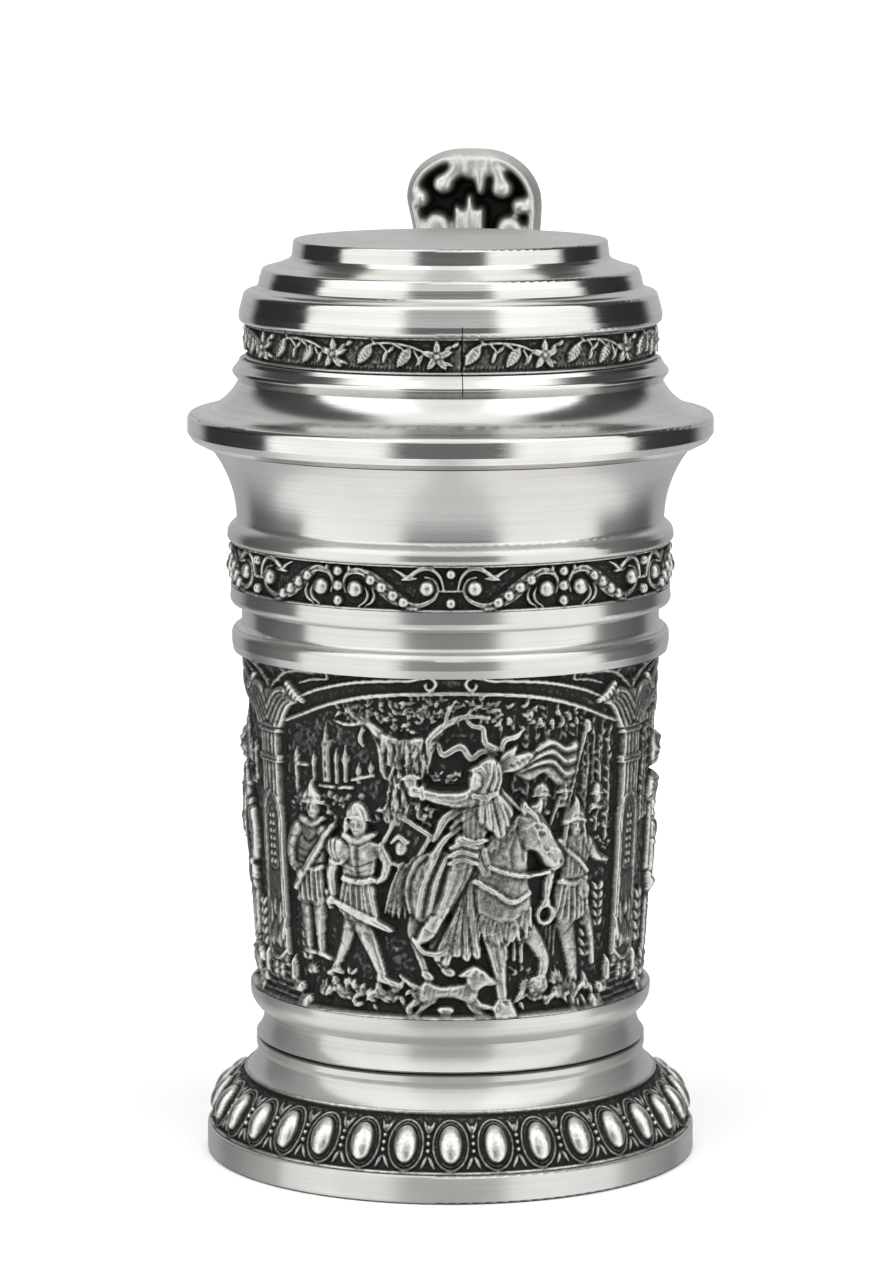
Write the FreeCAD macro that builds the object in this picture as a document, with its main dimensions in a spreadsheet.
import FreeCAD, Part
import os
import re
import Sketcher
from FreeCAD import Placement, Rotation, Vector

# Lidded pewter tankard. +Z is up, the body's axis is the Z axis, the foot stands on Z = 0,
# the relief's middle faces -Y and the handle and hinge are at +Y. Millimetres.

DIMENSIONS = (
    # foot
    ("rim_radius", 46.7, "outside of the resting rim"),
    ("rim_height", 5.45, "height of the resting rim"),
    ("rim_width", 4.2, "radial width of the face it rests on"),
    ("edge_round", 0.5, "rounding of turned edges"),
    ("foot_level", 15.8, "top of the gadroon border"),
    ("border_low", 46.0, "gadroon ground radius at the rim"),
    ("border_high", 39.0, "gadroon ground radius at its top"),
    ("border_bulge", 19.5, "radius of the border's convex section"),
    ("border_wall", 1.25, "thickness of the gadroon strip"),
    ("border_lap", 2.1, "width of the strip's top edge"),
    ("egg_count", 33, "eggs round the border"),
    ("egg_length", 8.8, "length of an egg"),
    ("egg_width", 5.2, "width of an egg"),
    ("egg_depth", 2.3, "half thickness of an egg"),
    ("egg_radius", 42.8, "distance of an egg's centre from the axis"),
    ("egg_level", 9.6, "height of an egg's centre"),
    ("egg_lean", 31.0, "lean of an egg towards the axis"),
    ("stem_bore", 34.0, "bore of the foot and its stem"),
    ("foot_wall", 1.8, "wall at the top of the foot"),
    ("cove_radius", 36.8, "narrowest part of the stem"),
    ("cove_level", 19.5, "height of the stem's narrowest part"),
    ("cove_curve", 8.0, "radius of the stem's cove"),
    ("stem_radius", 37.2, "band over the cove and lower edge of the collar"),
    ("collar_level", 22.8, "joint of the stem and the collar"),
    ("groove_depth", 1.0, "depth of the groove under the collar"),
    # collar, vessel and relief
    ("ledge_radius", 31.5, "bore of the ledge that carries the bottom"),
    ("waist_radius", 35.7, "narrowest part of the collar"),
    ("waist_level", 27.1, "height of the narrowest part of the collar"),
    ("waist_curve", 6.0, "radius of the collar's flare"),
    ("torus_radius", 38.28, "bead under the relief"),
    ("torus_curve", 4.55, "radius of the bead's section"),
    ("relief_level", 32.7, "lower edge of the relief"),
    ("relief_top", 97.0, "upper edge of the relief"),
    ("relief_low", 36.2, "relief radius over its base moulding"),
    ("relief_high", 38.9, "relief radius under its top moulding"),
    ("base_moulding", 3.9, "height of the relief's base moulding"),
    ("top_moulding", 3.0, "height of the relief's top moulding"),
    ("top_moulding_radius", 40.4, "outside of the relief's top moulding"),
    ("barrel_level", 25.2, "lower edge of the vessel wall"),
    ("barrel_top", 121.4, "upper edge of the vessel wall"),
    ("barrel_radius", 34.03, "outside of the vessel wall at its lower edge"),
    ("barrel_taper", 0.0507, "growth of that radius per millimetre of height"),
    ("barrel_wall", 1.2, "thickness of the vessel wall"),
    ("bottom_thick", 1.8, "thickness of the bottom disc"),
    # middle ring, scroll border and lip
    ("bead_radius", 41.5, "bead over the relief"),
    ("bead_top", 101.3, "top of that bead"),
    ("ring_radius", 39.6, "plain part of the middle ring"),
    ("ring_low", 102.3, "lower edge of the plain part"),
    ("ring_high", 105.3, "upper edge of the plain part"),
    ("scroll_bead", 41.8, "bead under the scroll border"),
    ("scroll_level", 109.3, "lower edge of the scroll border"),
    ("scroll_top", 118.0, "upper edge of the scroll border"),
    ("scroll_radius", 41.0, "ground of the scroll border"),
    ("scroll_seat", 39.7, "back of the scroll border"),
    ("rib_height", 0.6, "height and width of a border's raised edge"),
    ("lip_bead", 42.3, "bead over the scroll border"),
    ("lip_neck", 40.5, "narrowest part of the lip"),
    ("lip_neck_level", 122.3, "height of the narrowest part of the lip"),
    ("lip_radius", 45.6, "outside of the mouth"),
    ("lip_level", 135.7, "top of the mouth"),
    ("lip_flare", 22.0, "radius of the lip's flare outside"),
    ("lip_flare_inside", 24.0, "radius of the lip's flare inside"),
    ("mouth_radius", 43.9, "inside of the mouth"),
    # lid
    ("lid_gap", 0.3, "gap between the mouth and the closed lid"),
    ("flange_radius", 49.7, "outside of the lid's flange"),
    ("flange_low", 138.3, "lower edge of the flange's rim"),
    ("flange_high", 140.9, "upper edge of the flange's rim"),
    ("flange_curve", 10.7, "radius of the flange's hollow upper side"),
    ("lid_neck", 40.06, "narrowest part over the flange"),
    ("lid_neck_level", 148.1, "height of that narrowest part"),
    ("lid_bead", 40.9, "bead under the flower band"),
    ("flower_level", 152.2, "lower edge of the flower band"),
    ("flower_top", 159.0, "upper edge of the flower band"),
    ("flower_radius", 38.4, "ground of the flower band"),
    ("flower_seat", 37.4, "back of the flower band"),
    ("lid_bore", 35.9, "inside of the lid's wall"),
    ("crown_radius", 39.9, "lowest step of the crown"),
    ("crown_second", 36.0, "second step of the crown"),
    ("crown_third", 29.9, "top step of the crown"),
    ("crown_top", 174.5, "top of the lid"),
    ("crown_wall", 2.2, "thickness of the crown"),
    ("spigot_radius", 40.2, "outside of the locating ring in the mouth"),
    ("spigot_wall", 1.6, "thickness of the locating ring"),
    ("spigot_level", 131.0, "lower edge of the locating ring"),
    # hinge
    ("hinge_offset", 56.0, "distance of the hinge axis from the body's axis"),
    ("hinge_level", 139.6, "height of the hinge axis"),
    ("knuckle_radius", 3.4, "outside of a knuckle"),
    ("knuckle_width", 3.1, "length of a knuckle"),
    ("knuckle_gap", 0.15, "side gap between knuckles"),
    ("slot_radius", 3.9, "room round a moving knuckle"),
    ("pin_radius", 1.25, "hinge pin"),
    ("pin_play", 0.05, "radial clearance of the moving knuckles on the pin"),
    ("pin_proud", 0.6, "how far the pin stands out at each end"),
    ("strap_width", 12.0, "width of the lid strap"),
    ("strap_shoulder", 45.0, "where the strap's top starts to fall towards the hinge"),
    # handle
    ("handle_width", 12.4, "width of the handle"),
    ("handle_thick", 7.6, "thickness of the handle"),
    ("handle_crown", 7.2, "radius of the handle's four rounded sides"),
    ("handle_root", 38.0, "where the handle's arm starts, inside the lip"),
    ("arm_level", 127.0, "height of the handle's upper arm"),
    ("arm_end", 58.0, "where the upper arm starts to bend"),
    ("bend_radius", 20.0, "upper bend"),
    ("grip_radius", 75.0, "curve of the grip"),
    ("grip_turn", 28.0, "angle of the grip's curve"),
    ("heel_radius", 30.0, "lower bend"),
    ("heel_turn", 80.0, "slope of the handle where it meets the body"),
    ("heel_run", 14.0, "straight end of the handle"),
    ("curl_offset", 62.0, "start of the tail scroll"),
    ("curl_start", 64.0, "top of the tail scroll"),
    ("curl_level", 60.0, "height of the tail scroll's centre"),
    ("curl_radius", 7.0, "radius of the tail scroll"),
    ("curl_width", 9.0, "width of the tail scroll"),
    ("curl_thick", 5.6, "thickness of the tail scroll"),
    ("curl_crown", 5.2, "radius of the tail's four rounded sides"),
    ("curl_ball", 3.6, "radius of the roll that ends the tail"),
    # thumb lift
    ("lift_front", 43.5, "front of the thumb lift's head"),
    ("lift_depth", 11.5, "depth of the head"),
    ("lift_width", 27.0, "width of the head"),
    ("lift_low", 163.5, "bottom of the head"),
    ("lift_top", 189.0, "top of the head"),
    ("lift_wall", 3.6, "thickness of the rolled edge"),
    ("lift_hollow", 6.5, "depth of the hollow in the head"),
    ("neck_width", 8.0, "width of the thumb lift's neck"),
    ("lift_brow", 14.5, "radius of the head's upper outline"),
    ("lift_cheek", 14.0, "radius of the head's lower outline"),
    # turning of the cast strips about the body's axis
    ("strip_turn", 5.6, "turn of the cast strips from the handle's plane"),
    ("flower_turn", 8.6, "turn of the flower band's front seam"),
)

CELL = re.compile(r"\b[a-z]+(?:_[a-z]+)+\b")


def bound(text):
    """The expression with each cell's name written as the sheet's own."""
    return CELL.sub(r"dims.\g<0>", text)


def new_sheet(doc):
    """The sheet of driving dimensions: value, name and meaning."""
    sheet = doc.addObject("Spreadsheet::Sheet", "dims")
    for row, (alias, value, meaning) in enumerate(DIMENSIONS, start=1):
        sheet.set(f"A{row}", str(value))
        sheet.setAlias(f"A{row}", alias)
        sheet.set(f"B{row}", meaning)
    doc.recompute()
    return sheet


def read(item, alias):
    """The value of a cell of the sheet."""
    return float(item.Document.dims.get(alias))


def new_body(doc, label):
    body = doc.addObject("PartDesign::Body", label)
    body.Label = label
    return body


def new_sketch(body, role, offset=None):
    """A sketch on one of the body's origin planes, moved along its normal by offset."""
    plane = next(item for item in body.Origin.OriginFeatures if item.Role == role)
    sketch = body.newObject("Sketcher::SketchObject", "Sketch")
    sketch.AttachmentSupport = [(plane, "")]
    sketch.MapMode = "FlatFace"
    if offset:
        sketch.setExpression("AttachmentOffset.Base.z", bound(offset))
    return sketch


def arc_edge(start, end, radius):
    """An arc of at most half a turn; a positive radius turns anticlockwise."""
    chord = end - start
    side = Vector(-chord.y, chord.x, 0).normalize()
    rise = max(radius * radius - chord.Length ** 2 / 4, 0) ** 0.5
    centre = (start + end) / 2 + side * (rise if radius > 0 else -rise)
    first, last = (start, end) if radius > 0 else (end, start)
    circle = Part.Circle(centre, Vector(0, 0, 1), abs(radius))
    return Part.ArcOfCircle(circle, circle.parameter(first), circle.parameter(last))


def value(sketch, text):
    return float(sketch.evalExpression(bound(text)))


def draw(sketch, steps, closed=True):
    """Lines and arcs through (across, up) or (across, up, radius of the arc that ends there)."""
    points = [Vector(value(sketch, step[0]), value(sketch, step[1]), 0) for step in steps]
    edges = []
    for index in range(0 if closed else 1, len(steps)):
        start, end = points[index - 1], points[index]
        if len(steps[index]) == 2:
            edges.append((sketch.addGeometry(Part.LineSegment(start, end)), 1, 2))
            continue
        radius = value(sketch, steps[index][2])
        number = sketch.addGeometry(arc_edge(start, end, radius))
        size = sketch.addConstraint(Sketcher.Constraint("Radius", number, abs(radius)))
        sketch.setExpression(f"Constraints[{size}]", bound(f"abs({steps[index][2]})"))
        edges.append((number, 1, 2) if radius > 0 else (number, 2, 1))
    ends = [(edge, tail) for edge, head, tail in edges]
    if not closed:
        ends.insert(0, (edges[0][0], edges[0][1]))
    for (edge, place), step, point in zip(ends, steps, points):
        for kind, text, size in (("DistanceX", step[0], point.x), ("DistanceY", step[1], point.y)):
            number = sketch.addConstraint(Sketcher.Constraint(kind, -1, 1, edge, place, size))
            sketch.setExpression(f"Constraints[{number}]", bound(text))
    for before, after in zip(edges, edges[1:] + edges[:1] if closed else edges[1:]):
        joint = Sketcher.Constraint("Coincident", before[0], before[2], after[0], after[1])
        sketch.addConstraint(joint)


def circle(sketch, across, up, radius):
    """A circle placed from the sketch's origin."""
    x, y, size = (value(sketch, text) for text in (across, up, radius))
    number = sketch.addGeometry(Part.Circle(Vector(x, y, 0), Vector(0, 0, 1), size))
    sizes = (
        (Sketcher.Constraint("Radius", number, size), radius),
        (Sketcher.Constraint("DistanceX", -1, 1, number, 3, x), across),
        (Sketcher.Constraint("DistanceY", -1, 1, number, 3, y), up),
    )
    for constraint, text in sizes:
        index = sketch.addConstraint(constraint)
        sketch.setExpression(f"Constraints[{index}]", bound(text))


def turn_outline(body, steps, kind="Revolution", angle="360"):
    """The outline, radius across and height up, turned about the body's axis."""
    sketch = new_sketch(body, "XZ_Plane")
    draw(sketch, steps)
    feature = body.newObject(f"PartDesign::{kind}", kind)
    feature.Profile = sketch
    feature.ReferenceAxis = (sketch, ["V_Axis"])
    feature.setExpression("Angle", bound(angle))
    if angle != "360":
        feature.Midplane = True


def pad(body, sketch, length, kind="Pad", middle=False, reverse=False):
    feature = body.newObject(f"PartDesign::{kind}", kind)
    feature.Profile = sketch
    feature.setExpression("Length", bound(length))
    feature.Midplane = middle
    feature.Reversed = reverse


def turned_part(doc, label, steps):
    """A ring or disc turned in one piece."""
    turn_outline(new_body(doc, label), steps)


def face_front(body, turn):
    """Turn a strip, made about the X axis, so that its middle faces -Y, then on by turn."""
    body.setExpression("Placement.Rotation.Angle", bound(f"({turn} - 90) * 1 deg"))


def cast_strips(doc, names, steps, first_turn, closing=None, details=None):
    """Equal cast strips side by side, each an arc of the same turned outline."""
    if closing:
        steps = [(*steps[0], closing), *steps[1:]]
    for index, name in enumerate(names):
        body = new_body(doc, name)
        turn_outline(body, steps, angle=str(360 / len(names)))
        if details:
            details(body)
        face_front(body, f"{first_turn} + {index * 360 / len(names)}")


def barrel_outside(level):
    return f"barrel_radius + ({level} - barrel_level) * barrel_taper"


def barrel_inside(level):
    return f"{barrel_outside(level)} - barrel_wall"


# ---------------------------------------------------------------- foot

STRIP_BACK = [
    ("border_low - border_wall", "rim_height"),
    ("border_high - border_lap", "foot_level", "border_bulge - border_wall"),
]


def foot_rim(doc):
    turned_part(doc, "foot_rim", [
        ("rim_radius - rim_width", "0"),
        ("rim_radius - edge_round", "0"),
        ("rim_radius", "edge_round", "edge_round"),
        ("rim_radius", "rim_height - edge_round"),
        ("rim_radius - edge_round", "rim_height", "edge_round"),
        *STRIP_BACK,
        ("stem_bore", "foot_level"),
        ("stem_bore", "foot_level - foot_wall"),
        ("rim_radius - rim_width", "rim_height"),
    ])


def add_eggs(body):
    """One egg at the strip's first place, repeated along it, and all cut back to the strip's back."""
    pitch = 360 / read(body, "egg_count")
    eggs = round(120 / pitch)
    lean = read(body, "egg_lean")
    egg = body.newObject("PartDesign::AdditiveEllipsoid", "Egg")
    egg.setExpression("Radius1", bound("egg_length / 2"))
    egg.setExpression("Radius2", bound("egg_depth"))
    egg.setExpression("Radius3", bound("egg_width / 2"))
    plane = next(item for item in body.Origin.OriginFeatures if item.Role == "XY_Plane")
    egg.AttachmentSupport = [(plane, "")]
    egg.MapMode = "FlatFace"
    place = Placement(Vector(read(body, "egg_radius"), 0, read(body, "egg_level")),
                      Rotation(Vector(0, 1, 0), -lean))
    first = Placement(Vector(), Rotation(Vector(0, 0, 1), -pitch * (eggs - 1) / 2))
    egg.AttachmentOffset = first * place
    row = body.newObject("PartDesign::PolarPattern", "Eggs")
    row.Originals = [egg]
    axis = next(item for item in body.Origin.OriginFeatures if item.Role == "Z_Axis")
    row.Axis = (axis, [""])
    row.Angle = pitch * (eggs - 1)
    row.Occurrences = eggs
    body.Tip = row
    turn_outline(body, [
        ("0", "rim_height"),
        *STRIP_BACK,
        ("0", "foot_level"),
    ], kind="Groove")


def gadroon_strips(doc):
    names = ("gadroon_strip_front", "gadroon_strip_right", "gadroon_strip_left")
    cast_strips(doc, names, [
        ("border_low - border_wall", "rim_height"),
        ("border_low", "rim_height"),
        ("border_high", "foot_level", "border_bulge"),
        ("border_high - border_lap", "foot_level"),
    ], "strip_turn", closing="border_wall - border_bulge", details=add_eggs)


def foot_stem(doc):
    turned_part(doc, "foot_stem", [
        ("stem_bore", "foot_level"),
        ("border_high + 0.3", "foot_level"),
        ("cove_radius", "cove_level", "-cove_curve"),
        ("cove_radius", "cove_level + 0.3"),
        ("stem_radius", "cove_level + 1.2"),
        ("stem_radius", "collar_level - groove_depth"),
        ("stem_radius - groove_depth", "collar_level - groove_depth / 2"),
        ("stem_radius - groove_depth", "collar_level"),
        ("stem_bore", "collar_level"),
    ])


def foot_collar(doc):
    turned_part(doc, "foot_collar", [
        ("ledge_radius", "collar_level"),
        ("stem_radius", "collar_level"),
        ("waist_radius", "waist_level - edge_round", "-waist_curve"),
        ("waist_radius", "waist_level + edge_round"),
        ("torus_radius", "relief_level - 0.8", "torus_curve"),
        ("torus_radius", "relief_level"),
        (barrel_outside("relief_level"), "relief_level"),
        ("barrel_radius", "barrel_level"),
        ("ledge_radius", "barrel_level"),
    ])


# ---------------------------------------------------------------- vessel and its cast skin

def bottom_disc(doc):
    turned_part(doc, "bottom_disc", [
        ("0", "barrel_level"),
        (barrel_inside("barrel_level"), "barrel_level"),
        (barrel_inside("(barrel_level + bottom_thick)"), "barrel_level + bottom_thick"),
        ("0", "barrel_level + bottom_thick"),
    ])


def barrel(doc):
    turned_part(doc, "barrel", [
        (barrel_inside("barrel_level"), "barrel_level"),
        ("barrel_radius", "barrel_level"),
        (barrel_outside("barrel_top"), "barrel_top"),
        (barrel_inside("barrel_top"), "barrel_top"),
    ])


def relief_panels(doc):
    names = ("relief_panel_front", "relief_panel_right", "relief_panel_left")
    cast_strips(doc, names, [
        (barrel_outside("relief_level"), "relief_level"),
        ("torus_radius", "relief_level"),
        ("torus_radius", "relief_level + edge_round"),
        ("relief_low", "relief_level + base_moulding"),
        ("relief_high", "relief_top - top_moulding"),
        ("top_moulding_radius", "relief_top - top_moulding / 2", "-top_moulding"),
        ("top_moulding_radius", "relief_top"),
        (barrel_outside("relief_top"), "relief_top"),
    ], "strip_turn")


def middle_ring(doc):
    turned_part(doc, "middle_ring", [
        (barrel_outside("relief_top"), "relief_top"),
        ("bead_radius - 0.3", "relief_top"),
        ("bead_radius", "relief_top + 1.5"),
        ("bead_radius", "bead_top - 1.1"),
        ("bead_radius - 0.6", "bead_top", "1.6"),
        ("ring_radius", "ring_low", "-1.3"),
        ("ring_radius", "ring_high"),
        ("scroll_bead - 0.4", "ring_high + 0.8"),
        ("scroll_bead", "ring_high + 1.8", "1.8"),
        ("scroll_bead - 0.2", "scroll_level"),
        ("scroll_seat", "scroll_level"),
        ("scroll_seat", "scroll_top"),
        (barrel_outside("scroll_top"), "scroll_top"),
    ])


def scroll_strips(doc):
    names = ("scroll_strip_front", "scroll_strip_right", "scroll_strip_left")
    cast_strips(doc, names, [
        ("scroll_seat", "scroll_level"),
        ("scroll_radius + rib_height", "scroll_level"),
        ("scroll_radius + rib_height", "scroll_level + rib_height"),
        ("scroll_radius", "scroll_level + rib_height * 1.5"),
        ("scroll_radius", "scroll_top - rib_height * 1.5"),
        ("scroll_radius + rib_height", "scroll_top - rib_height"),
        ("scroll_radius + rib_height", "scroll_top"),
        ("scroll_seat", "scroll_top"),
    ], "strip_turn")


def lip(doc):
    turned_part(doc, "lip", [
        (barrel_outside("scroll_top"), "scroll_top"),
        ("lip_bead - 0.4", "scroll_top"),
        ("lip_bead", "scroll_top + 0.7", "1"),
        ("lip_bead - 0.1", "scroll_top + 1.7"),
        ("lip_neck + 0.6", "barrel_top - 0.2", "2.4"),
        ("lip_neck", "lip_neck_level", "-1.2"),
        ("lip_radius", "lip_level", "-lip_flare"),
        ("mouth_radius", "lip_level"),
        (barrel_inside("barrel_top"), "barrel_top", "lip_flare_inside"),
        (barrel_outside("barrel_top"), "barrel_top"),
    ])


# ---------------------------------------------------------------- lid

FLANGE_TOP = [
    ("flange_radius", "flange_low"),
    ("flange_radius", "flange_high"),
    ("flange_radius - 1", "flange_high + 1.1", "1.2"),
    ("lid_neck", "lid_neck_level", "-flange_curve"),
]


def lid_flange(doc):
    turned_part(doc, "lid_flange", [
        ("spigot_radius - spigot_wall", "lip_level + lid_gap"),
        ("flange_radius - 2.8", "lip_level + lid_gap"),
        ("flange_radius - 0.9", "lip_level + 1.3"),
        *FLANGE_TOP,
        ("lid_bead", "lid_neck_level + 1.2"),
        ("lid_bead", "lid_neck_level + 2.3", "0.7"),
        ("lid_neck", "lid_neck_level + 3.4"),
        ("lid_neck - 0.3", "flower_level"),
        ("flower_seat", "flower_level"),
        ("flower_seat", "flower_top"),
        ("lid_bore", "flower_top"),
        ("lid_bore", "lid_neck_level - 1.5"),
        ("spigot_radius - spigot_wall", "flange_low + 0.3"),
    ])


def flower_bands(doc):
    cast_strips(doc, ("flower_band_right", "flower_band_left"), [
        ("flower_seat", "flower_level"),
        ("flower_radius + rib_height", "flower_level"),
        ("flower_radius + rib_height", "flower_level + rib_height"),
        ("flower_radius", "flower_level + rib_height * 1.5"),
        ("flower_radius", "flower_top - rib_height"),
        ("flower_radius + rib_height / 2", "flower_top"),
        ("flower_seat", "flower_top"),
    ], "flower_turn + 90")


def lid_crown(doc):
    turned_part(doc, "lid_crown", [
        ("lid_bore", "flower_top"),
        ("crown_radius - 0.8", "flower_top"),
        ("crown_radius", "flower_top + 1", "1"),
        ("crown_radius", "flower_top + 2"),
        ("crown_radius - 0.8", "flower_top + 5"),
        ("crown_radius - 1.9", "flower_top + 6", "1.2"),
        ("crown_second + 0.3", "flower_top + 6.9", "-3"),
        ("crown_second", "flower_top + 8.4"),
        ("crown_second - 0.4", "flower_top + 9.6"),
        ("crown_second - 1", "flower_top + 10.2", "0.7"),
        ("crown_third + 0.5", "flower_top + 11.8", "-20"),
        ("crown_third", "flower_top + 12.5"),
        ("crown_third - 0.3", "crown_top - edge_round"),
        ("crown_third - 0.8", "crown_top", "edge_round"),
        ("0", "crown_top"),
        ("0", "crown_top - crown_wall"),
        ("crown_third - crown_wall", "crown_top - crown_wall"),
        ("crown_third - crown_wall + 0.4", "flower_top + 10"),
        ("crown_second - crown_wall - 0.4", "flower_top + 8.4"),
        ("crown_second - crown_wall", "flower_top + 5.4"),
        ("lid_bore", "flower_top + 4"),
    ])


def lid_spigot(doc):
    turned_part(doc, "lid_spigot", [
        ("spigot_radius - spigot_wall", "spigot_level"),
        ("spigot_radius - edge_round", "spigot_level"),
        ("spigot_radius", "spigot_level + edge_round", "edge_round"),
        ("spigot_radius", "lip_level + lid_gap"),
        ("spigot_radius - spigot_wall", "lip_level + lid_gap"),
    ])


# ---------------------------------------------------------------- handle and hinge

def sweep(body, section_plane, offset, section, path):
    """A bar of the given section along a path in the handle's plane."""
    profile = new_sketch(body, section_plane, offset)
    draw(profile, section)
    spine = new_sketch(body, "YZ_Plane")
    draw(spine, path, closed=False)
    pipe = body.newObject("PartDesign::AdditivePipe", "Bar")
    pipe.Profile = profile
    pipe.Spine = spine


def oval(across, up, width, thick, curve):
    """A section of four arcs: width along the first axis, thick along the second."""
    return [
        (across, f"{up} - {thick}", curve),
        (f"{across} + {width}", up, curve),
        (across, f"{up} + {thick}", curve),
        (f"{across} - {width}", up, curve),
    ]


def clear_of_vessel(body):
    """Cut the piece back to the outside of the lip and of the relief, which it is soldered to."""
    turn_outline(body, [
        ("0", "lip_neck_level"),
        ("lip_neck", "lip_neck_level"),
        ("lip_radius", "lip_level", "-lip_flare"),
        ("0", "lip_level"),
    ], kind="Groove")
    turn_outline(body, [
        ("0", "relief_level + base_moulding"),
        ("relief_low", "relief_level + base_moulding"),
        ("relief_high", "relief_top - top_moulding"),
        ("0", "relief_top - top_moulding"),
    ], kind="Groove")


def cut_knuckle_slots(body):
    """Two slots in the hinge block for the lid's knuckles."""
    for side in ("1", "-1"):
        sketch = new_sketch(body, "YZ_Plane", f"{side} * (knuckle_width + knuckle_gap)")
        draw(sketch, [
            ("hinge_offset - 2 * slot_radius", "hinge_level - slot_radius"),
            ("hinge_offset", "hinge_level - slot_radius"),
            ("hinge_offset + slot_radius", "hinge_level", "slot_radius"),
            ("hinge_offset", "hinge_level + slot_radius", "slot_radius"),
            ("hinge_offset - 2 * slot_radius", "hinge_level + slot_radius"),
        ])
        pad(body, sketch, "knuckle_width + 2 * knuckle_gap", kind="Pocket", middle=True)


def pin_bore(body, radius):
    sketch = new_sketch(body, "YZ_Plane")
    circle(sketch, "hinge_offset", "hinge_level", radius)
    pad(body, sketch, HINGE_WIDTH + " + 2", kind="Pocket", middle=True)


HINGE_WIDTH = "5 * knuckle_width + 4 * knuckle_gap"


def handle(doc):
    """The cast handle with its tail scroll and the hinge's three fixed knuckles."""
    body = new_body(doc, "handle")
    turned = "(grip_turn * 1 deg)"
    heel = "(heel_turn * 1 deg)"
    grip_end = (f"(arm_end + bend_radius - grip_radius * (1 - cos{turned}))",
                f"(arm_level - bend_radius - grip_radius * sin{turned})")
    heel_end = (f"({grip_end[0]} - heel_radius * (cos{turned} - cos{heel}))",
                f"({grip_end[1]} - heel_radius * (sin{heel} - sin{turned}))")
    arm = oval("0", "arm_level", "handle_width / 2", "handle_thick / 2", "handle_crown")
    sweep(body, "XZ_Plane", "-handle_root", arm, [
        ("handle_root", "arm_level"),
        ("arm_end", "arm_level"),
        ("arm_end + bend_radius", "arm_level - bend_radius", "-bend_radius"),
        (*grip_end, "-grip_radius"),
        (*heel_end, "-heel_radius"),
        (f"{heel_end[0]} - heel_run * sin{heel}", f"{heel_end[1]} - heel_run * cos{heel}"),
    ])
    tail = oval("0", "curl_offset", "curl_width / 2", "curl_thick / 2", "curl_crown")
    sweep(body, "XY_Plane", "curl_start", tail, [
        ("curl_offset", "curl_start"),
        ("curl_offset", "curl_level"),
        ("curl_offset + curl_radius", "curl_level - curl_radius", "curl_radius"),
        ("curl_offset + 2 * curl_radius", "curl_level", "curl_radius"),
    ])
    sketch = new_sketch(body, "YZ_Plane")
    circle(sketch, "curl_offset + 2 * curl_radius", "curl_level", "curl_ball")
    pad(body, sketch, "curl_width + 1", middle=True)
    block = new_sketch(body, "YZ_Plane")
    draw(block, [
        ("hinge_offset - 5.5", "arm_level"),
        ("hinge_offset + 6.5", "arm_level"),
        ("hinge_offset + knuckle_radius", "hinge_level"),
        ("hinge_offset", "hinge_level + knuckle_radius", "knuckle_radius"),
        ("hinge_offset - knuckle_radius", "hinge_level", "knuckle_radius"),
    ])
    pad(body, block, HINGE_WIDTH, middle=True)
    cut_knuckle_slots(body)
    pin_bore(body, "pin_radius")
    clear_of_vessel(body)


def hinge_pin(doc):
    pin = doc.addObject("Part::Cylinder", "hinge_pin")
    pin.Label = "hinge_pin"
    length = bound(f"{HINGE_WIDTH} + 2 * pin_proud")
    pin.setExpression("Radius", bound("pin_radius"))
    pin.setExpression("Height", length)
    pin.Placement = Placement(Vector(), Rotation(Vector(0, 1, 0), 90))
    pin.setExpression("Placement.Base.x", f"-({length}) / 2")
    pin.setExpression("Placement.Base.y", bound("hinge_offset"))
    pin.setExpression("Placement.Base.z", bound("hinge_level"))


def lid_strap(doc):
    """The strap soldered on the lid's flange, with the hinge's two moving knuckles."""
    body = new_body(doc, "lid_strap")
    plate = new_sketch(body, "YZ_Plane")
    draw(plate, [
        ("lid_neck + 1", "hinge_level - 1.4"),
        ("hinge_offset - 4.6", "hinge_level - 1.4"),
        ("hinge_offset - 4.6", "hinge_level + 5"),
        ("strap_shoulder", "hinge_level + 9.2"),
        ("lid_neck + 1", "hinge_level + 9.9"),
    ])
    pad(body, plate, "strap_width", middle=True)
    for side in ("1", "-1"):
        sketch = new_sketch(body, "YZ_Plane", f"{side} * (knuckle_width + knuckle_gap)")
        draw(sketch, [
            ("hinge_offset - 5", "hinge_level - 1.4"),
            ("hinge_offset", "hinge_level - knuckle_radius"),
            ("hinge_offset + knuckle_radius", "hinge_level", "knuckle_radius"),
            ("hinge_offset", "hinge_level + knuckle_radius", "knuckle_radius"),
            ("hinge_offset - 5", "hinge_level + 5"),
        ])
        pad(body, sketch, "knuckle_width", middle=True)
    pin_bore(body, "pin_radius + pin_play")
    turn_outline(body, [
        ("0", "flange_low"),
        *FLANGE_TOP,
        ("0", "lid_neck_level"),
    ], kind="Groove")
    turn_outline(body, [
        ("0", "hinge_level - 3"),
        ("flange_radius", "hinge_level - 3"),
        ("flange_radius", "flange_low"),
        ("0", "flange_low"),
    ], kind="Groove")


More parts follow.
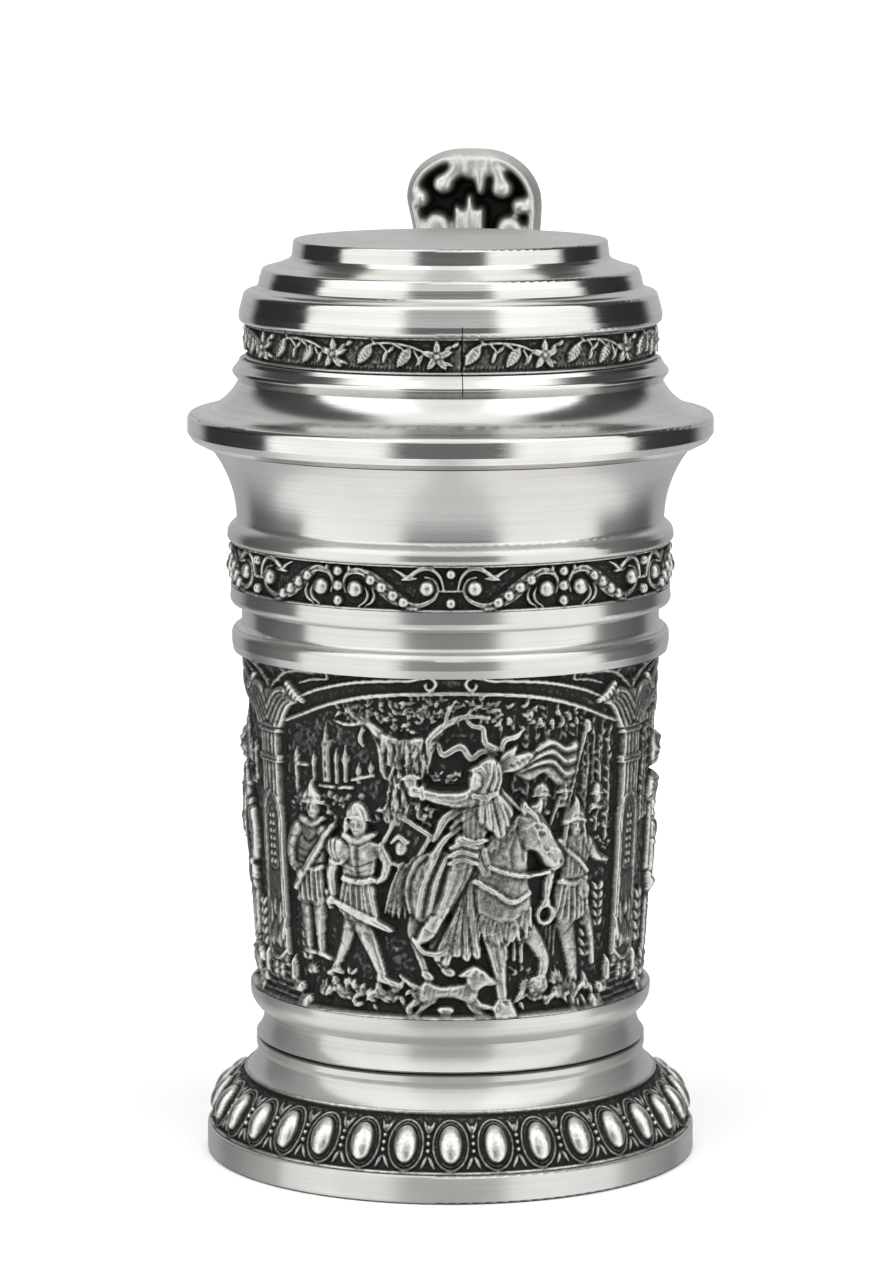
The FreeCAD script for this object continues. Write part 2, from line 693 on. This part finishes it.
def thumb_lift(doc):
    """The cast thumb lift: a neck on the strap and a wide head with a rolled edge."""
    body = new_body(doc, "thumb_lift")
    neck = new_sketch(body, "YZ_Plane")
    draw(neck, [
        ("strap_shoulder", "hinge_level + 9.2"),
        ("hinge_offset - 4.6", "hinge_level + 5"),
        ("hinge_offset - 3.6", "hinge_level + 14"),
        ("lift_front + lift_depth", "lift_low + 4", "-16"),
        ("lift_front + 3", "lift_low + 4"),
        ("strap_shoulder", "lift_low - 6", "20"),
    ])
    pad(body, neck, "neck_width", middle=True)
    head = new_sketch(body, "XZ_Plane", "-lift_front")
    half = "lift_width / 2"
    middle = "(lift_low + lift_top) / 2 + 1"
    draw(head, [
        ("neck_width / 2", "lift_low"),
        (half, middle, "lift_cheek"),
        ("0", "lift_top", "lift_brow"),
        (f"-{half}", middle, "lift_brow"),
        ("-neck_width / 2", "lift_low", "lift_cheek"),
    ])
    pad(body, head, "lift_depth", reverse=True)
    hollow = new_sketch(body, "XZ_Plane", "-lift_front")
    inner = f"({half} - lift_wall)"
    draw(hollow, [
        (inner, middle, "lift_cheek"),
        ("0", "lift_top - lift_wall * 1.3", "lift_brow"),
        (f"-{inner}", middle, "lift_brow"),
        ("-neck_width / 2", "lift_low + 4", "lift_cheek"),
        ("neck_width / 2", "lift_low + 4"),
    ])
    pad(body, hollow, "lift_hollow", kind="Pocket")


# ---------------------------------------------------------------- the whole tankard

MAKERS = (
    foot_rim, gadroon_strips, foot_stem, foot_collar,
    bottom_disc, barrel, relief_panels, middle_ring, scroll_strips, lip,
    lid_flange, flower_bands, lid_crown, lid_spigot,
    handle, hinge_pin, lid_strap, thumb_lift,
)


def check(doc, parts):
    """Stop before writing anything if an object failed or a part is not a sound solid."""
    failed = [item.Name for item in doc.Objects if {"Invalid", "Error"} & set(item.State)]
    for part in parts:
        shape = part.Shape
        if shape.isNull() or not shape.isValid() or not shape.Solids:
            failed.append(part.Label)
    if failed:
        raise RuntimeError("failed objects: " + ", ".join(failed))


def build():
    doc = FreeCAD.newDocument("tankard")
    new_sheet(doc)
    for make in MAKERS:
        make(doc)
    doc.recompute()
    parts = [item for item in doc.Objects if item.TypeId in ("PartDesign::Body", "Part::Cylinder")]
    check(doc, parts)
    os.makedirs("parts", exist_ok=True)
    for part in parts:
        part.Shape.exportStep(f"parts/{part.Label}.step")
        print(f"{part.Label}: {part.Shape.Volume:.0f} mm3 in {len(part.Shape.Solids)} solid(s)")


build()
